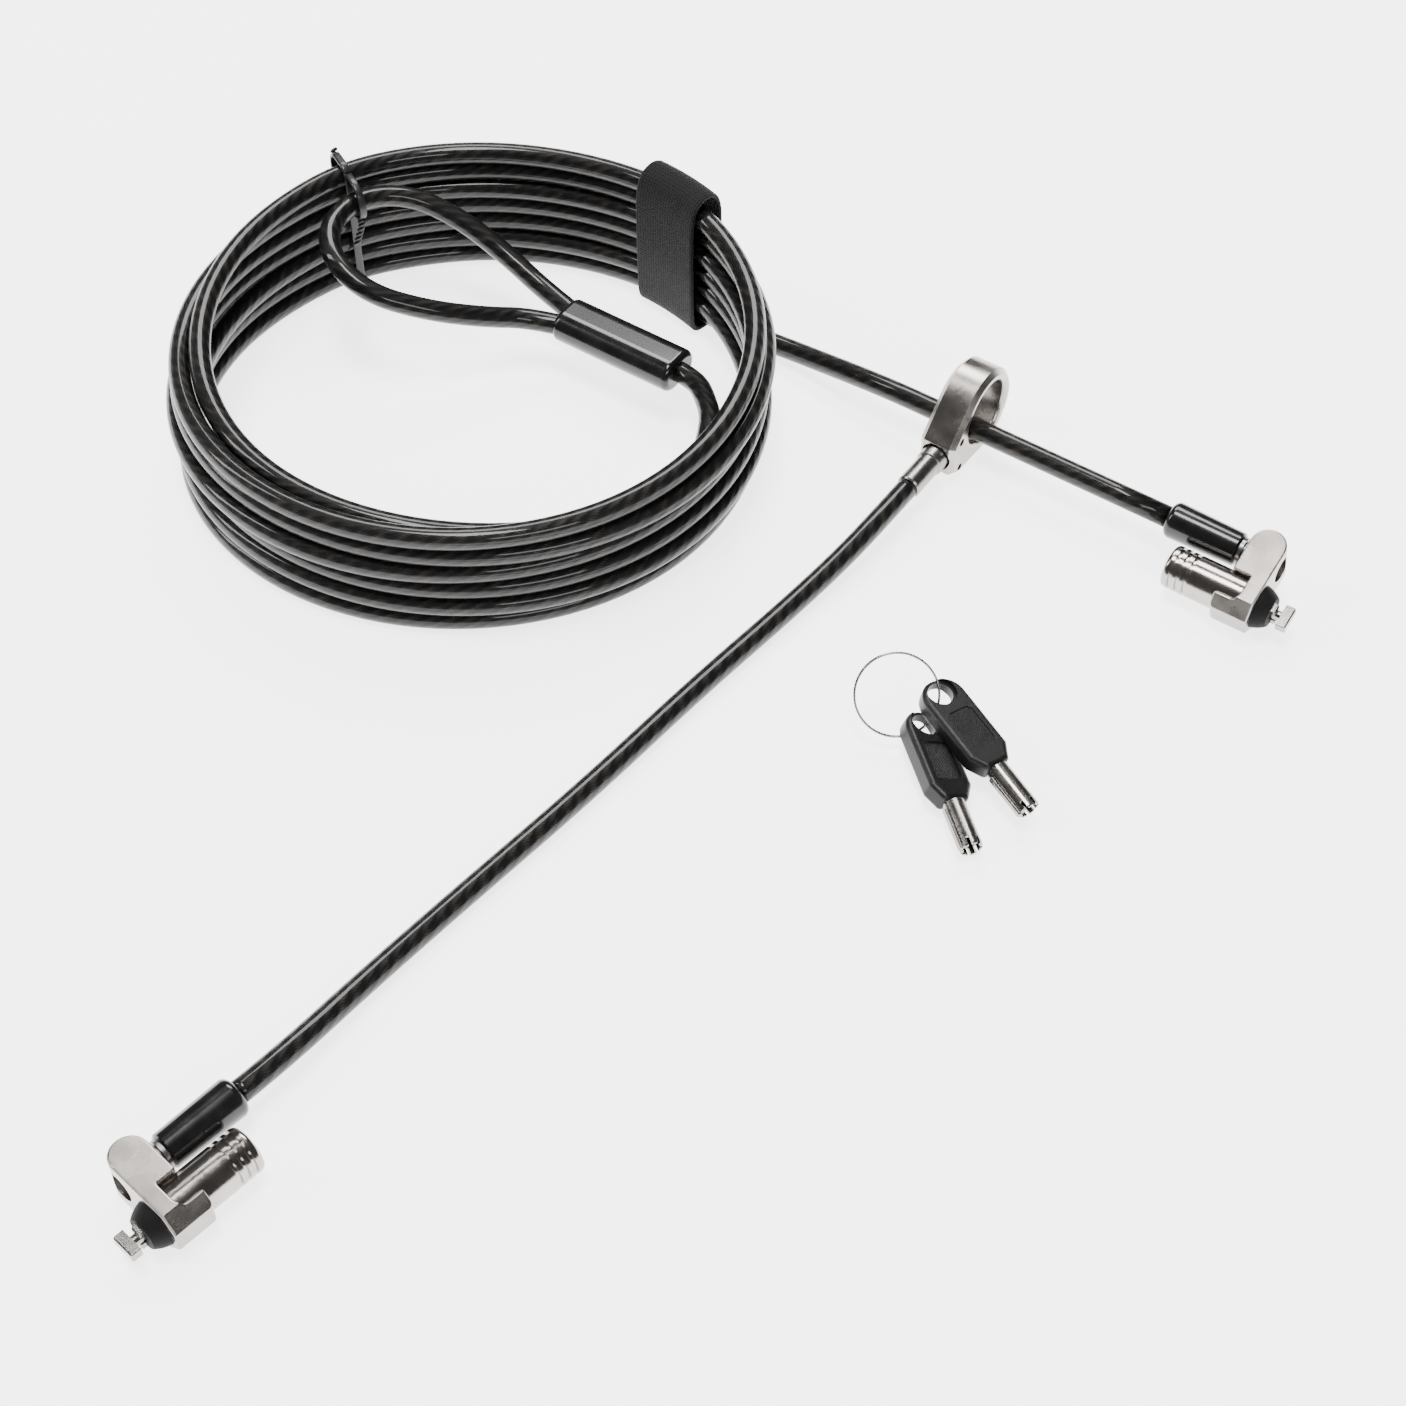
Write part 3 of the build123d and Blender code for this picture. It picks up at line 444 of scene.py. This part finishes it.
# ---- strap and tie ------------------------------------------------------------------------------
def bundle_frame(turn):
    """Matrix of an upright plane across the bundle: X outwards, Y along the turn, Z up."""
    t = radians(turn)
    along = Vector((-COIL_A * sin(t), COIL_B * cos(t), 0)).normalized()
    out = Vector((along.y, -along.x, 0))
    place = at(COIL_X + COIL_A * cos(t), COIL_Y + COIL_B * sin(t), 0)
    return Matrix((
        (out.x, along.x, 0, place.x), (out.y, along.y, 0, place.y), (0, 0, 1, place.z),
        (0, 0, 0, 1),
    ))


def rounded_outline(left, right, low, high, radius):
    """Points round an upright rounded rectangle, starting on its right side, going down."""
    points = []
    corners = ((right - radius, low + radius, 0), (left + radius, low + radius, -90),
               (left + radius, high - radius, -180), (right - radius, high - radius, -270))
    for x, z, start in corners:
        for i in range(9):
            a = radians(start - 90 * i / 8)
            points.append(Vector((x + radius * cos(a), 0, z + radius * sin(a))))
    even = []
    for a, b in zip(points, points[1:] + points[:1]):
        count = max(1, round((b - a).length / 0.6))
        even += [a.lerp(b, i / count) for i in range(count)]
    return even


def band_piece(name, line, half_width, thickness, mat, place, across=10, bend=0.0):
    """A flat band with rounded edges along a line in the band's own upright plane."""
    frames = []
    length = 0.0
    for i, point in enumerate(line):
        before, after = line[max(i - 1, 0)], line[min(i + 1, len(line) - 1)]
        ahead = (after - before).normalized()
        if i:
            length += (point - line[i - 1]).length
        frames.append((point, Vector((ahead.z, 0, -ahead.x)), length))
    section = []
    edge = thickness / 2
    for i in range(across + 1):
        section.append((-half_width + edge + (2 * half_width - 2 * edge) * i / across, edge))
    for i in range(1, 4):
        a = pi / 2 - pi * i / 4
        section.append((half_width - edge + edge * cos(a), edge * sin(a)))
    for i in range(across + 1):
        section.append((half_width - edge - (2 * half_width - 2 * edge) * i / across, -edge))
    for i in range(1, 4):
        a = -pi / 2 - pi * i / 4
        section.append((-half_width + edge + edge * cos(a), edge * sin(a)))
    n = len(section)
    girth = [0.0]
    for a, b in zip(section, section[1:] + section[:1]):
        girth.append(girth[-1] + hypot(b[0] - a[0], b[1] - a[1]))
    points, faces, uvs = [], [], []
    for centre, normal, _ in frames:
        for wide, thick in section:
            spot = centre + normal * thick + Vector((-bend * wide * wide, wide, 0))
            points.append(place @ (spot * MM))
    for i in range(len(frames) - 1):
        for j in range(n):
            k = (j + 1) % n
            faces.append((i * n + j, (i + 1) * n + j, (i + 1) * n + k, i * n + k))
            low, high = frames[i][2] * MM, frames[i + 1][2] * MM
            v0, v1 = girth[j] * MM, girth[j + 1] * MM
            uvs.append(((low, v0), (high, v0), (high, v1), (low, v1)))
    last = (len(frames) - 1) * n
    faces.append(tuple(range(n)))
    uvs.append(tuple((0.0, g * MM) for g in girth[:n]))
    faces.append(tuple(range(last + n - 1, last - 1, -1)))
    uvs.append(tuple((frames[-1][2] * MM, g * MM) for g in reversed(girth[:n])))
    return mesh_piece(name, points, faces, uvs, mat), length


STRAP_HALF = 9.8         # half the width of the woven strap
STRAP_THICK = 1.2
STRAP_BEND = 0.0072      # how much its edges curl over the bundle


def add_strap(mat):
    """One turn and a bit of woven strap, its free end lying on the outside."""
    path = [
        (4.1, 25.0), (4.15, 18.0), (4.2, 9.0), (4.2, 3.4), (2.8, 0.72), (-2.8, 0.72),
        (-4.4, 3.2), (-4.5, 10.0), (-4.6, 20.0), (-4.6, 29.0), (-4.4, 35.6), (-3.1, 40.2),
        (0.4, 41.9), (3.9, 40.7), (5.5, 36.8), (5.6, 31.0), (5.7, 26.0), (6.0, 22.5),
    ]
    line = smooth_line("strap_line", [Vector((x, 0, z)) for x, z in path], 10)
    piece, length = band_piece("woven_strap", line, STRAP_HALF, STRAP_THICK, mat,
                               bundle_frame(STRAP_TURN), across=24, bend=STRAP_BEND)
    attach(piece, "main_cable")
    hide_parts("cable_strap")


def twisted_ends(place, line, mat, name):
    """Two wires twisted round each other along a line."""
    radius, pitch = 0.45, 3.2
    frames = section_frames([place @ (Vector(p) * MM) for p in line])
    pieces = []
    for start in (0, pi):
        wire = []
        for centre, side, other, length in frames:
            a = start + 2 * pi * length / (pitch * MM)
            wire.append(centre + (side * cos(a) + other * sin(a)) * radius * 1.05 * MM)
        pieces.append(wire)
    return [tube_piece(f"{name}_{i + 1}", wire, radius * MM, mat, sides=10)
            for i, wire in enumerate(pieces)]


TIE_HALF = 1.05          # half the width of the flat tie
TIE_THICK = 0.8
HOOK_HALF = 0.95


def add_tie(mat):
    place = bundle_frame(TIE_TURN)
    outline = rounded_outline(-4.5, 4.9, 0.55, 39.2, 3.0)
    first = min(range(len(outline)), key=lambda i: abs(outline[i].x + 4.5) + abs(outline[i].z - 38))
    line = outline[first:] + outline[:first]
    line.append(line[0])
    tie, _ = band_piece("wire_tie", line, TIE_HALF, TIE_THICK, mat, place, across=3)
    hook_line = [
        Vector((-4.6, 0, 37.8)), Vector((-7.5, 0, 38.2)), Vector((-10.6, 0, 37.2)),
        Vector((-12.4, 0, 34.8)), Vector((-12.8, 0, 31.8)), Vector((-11.8, 0, 29.2)),
        Vector((-9.0, 0, 27.9)), Vector((-6.4, 0, 27.0)), Vector((-4.6, 0, 25.4)),
    ]
    smooth = smooth_line("tie_line", hook_line, 8)
    hook, _ = band_piece("wire_tie_hook", smooth, HOOK_HALF, TIE_THICK, mat, place, across=3)
    knob = [(4.5 + 0.13 * i, -0.1 * i, 38.3 + 0.02 * i) for i in range(9)]
    ends = [(-11.9 + 0.10 * i, 0.12 * i, 29.0 - 0.52 * i) for i in range(17)]
    made = [tie, hook] + twisted_ends(place, knob, mat, "tie_knob") + twisted_ends(
        place, ends, mat, "tie_end")
    for piece in made:
        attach(piece, "main_cable")
    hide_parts("cable_tie")


# ---- key ring -----------------------------------------------------------------------------------
RING_AT = (31.8, -9.6, 10.7)
RING_R = 9.4
RING_TILT = 50
RING_WIRE_R = 0.27
RING_LIFT = 0.25         # each turn of the wire lies this far off the ring's own plane
KEYS = {"key_1": (-3, (60.0, -38.0, 4.6), -6), "key_2": (-53, (46.0, -44.5, 3.2), -22)}


def ring_point(turn, radius=RING_R, lift=0.0):
    a, tilt = radians(turn), radians(RING_TILT)
    return Vector(RING_AT) + radius * Vector(
        (cos(a), sin(a) * cos(tilt), sin(a) * sin(tilt))
    ) + lift * Vector((0, -sin(tilt), cos(tilt)))


def add_ring(mat):
    """Split ring: two close turns of wire, stepping over at the split."""
    wire = []
    steps = 180
    for i in range(steps + 1):
        turn = 112 + 680 * i / steps
        lift = -RING_LIFT + 2 * RING_LIFT * eased((i / steps - 0.44) / 0.12)
        wire.append(at(*ring_point(turn, lift=lift)))
    ring = tube_piece("split_ring", wire, RING_WIRE_R * MM, mat, sides=10)
    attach(ring, "key_ring")
    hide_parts("key_ring")


KEY_HOLE_IN = 3.6        # from a key's end to the far side of its hole


def key_matrix(turn, tip, roll):
    """Place of a key: X from its hole's end to the tip, Z through the bow."""
    hole = ring_point(turn)
    ahead = (Vector(tip) - hole).normalized()
    side = Vector((0, 0, 1)).cross(ahead).normalized()
    up = ahead.cross(side)
    lean = Matrix.Rotation(radians(roll), 3, ahead)
    side, up = lean @ side, lean @ up
    start = hole - ahead * KEY_HOLE_IN
    corner = at(*start)
    return Matrix((
        (ahead.x, side.x, up.x, corner.x), (ahead.y, side.y, up.y, corner.y),
        (ahead.z, side.z, up.z, corner.z), (0, 0, 0, 1),
    ))


# ---- putting it together -----------------------------------------------------------------------
add_camera()
add_world()
floor_mesh = bpy.data.meshes.new("floor")
floor_mesh.from_pydata([(x, y, -0.0002) for x, y in ((-3, -2), (3, -2), (3, 5), (-3, 5))], [],
                       [(0, 1, 2, 3)])
floor_mesh.materials.append(floor_look())
floor = bpy.data.objects.new("floor", floor_mesh)
bpy.context.scene.collection.objects.link(floor)
add_light("back_softbox", (0.0, 1.75, 2.15), (0, 0.05, 0), (1.4, 0.9), 75)
add_light("overhead", (-0.2, -0.1, 2.8), (0, 0, 0), (1.2, 0.7), 90, (1.0, 0.985, 0.97))
add_light("left_strip", (-2.2, 0.2, 1.6), (0, 0, 0), (0.35, 1.6), 34)
add_light("front_fill", (0.9, -2.3, 1.7), (0, 0, 0), (1.4, 0.6), 30)

cable = cable_look()
nickel = metal_look("nickel", (0.34, 0.315, 0.295, 1), 0.24)
polish = metal_look("polish", (0.38, 0.35, 0.33, 1), 0.14, spread=0.03, edge=0.08)
turned_steel = metal_look("turned_steel", (0.25, 0.24, 0.23, 1), 0.26, edge=0.08)
bright_steel = metal_look("bright_steel", (0.30, 0.285, 0.27, 1), 0.18, edge=0.08)
brass = metal_look("brass", (0.40, 0.29, 0.14, 1), 0.28)
ring_steel = metal_look("ring_steel", (0.22, 0.205, 0.19, 1), 0.22, edge=0.02)
black_gloss = gloss_look("black_gloss", (0.004, 0.004, 0.0045, 1), 0.2, 0.4)
tie_black = gloss_look("tie_black", (0.008, 0.008, 0.008, 1), 0.35, 0.2)
rubber = rubber_look()

NODE_LOOKS = {
    "collar": nickel, "barrel": polish, "nose": rubber, "pin_plate": bright_steel,
    "retaining_pin": bright_steel, "plug": brass, "spindle": bright_steel, "tumblers": brass,
    "tumbler_springs": bright_steel, "ferrule": turned_steel, "boot": black_gloss,
}
looks = {f"{head}_{piece}": mat for head in ("head_a", "head_b")
         for piece, mat in NODE_LOOKS.items()}
looks.update({
    "trap_body": nickel, "trap_roll_pins": bright_steel, "trap_swivel": turned_steel,
    "loop_sleeve": black_gloss, "loop_crimp": bright_steel, "key_1_tube": bright_steel,
    "key_2_tube": bright_steel,
})
for key, (turn, tip, roll) in KEYS.items():
    looks[f"{key}_bow"] = bow_look(f"{key}_bow", key_matrix(turn, tip, roll))
for node, mat in looks.items():
    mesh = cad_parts[node].data
    mesh.materials.clear()
    mesh.materials.append(mat)

add_cables(cable)
add_strap(strap_look())
add_tie(tie_black)
add_ring(ring_steel)
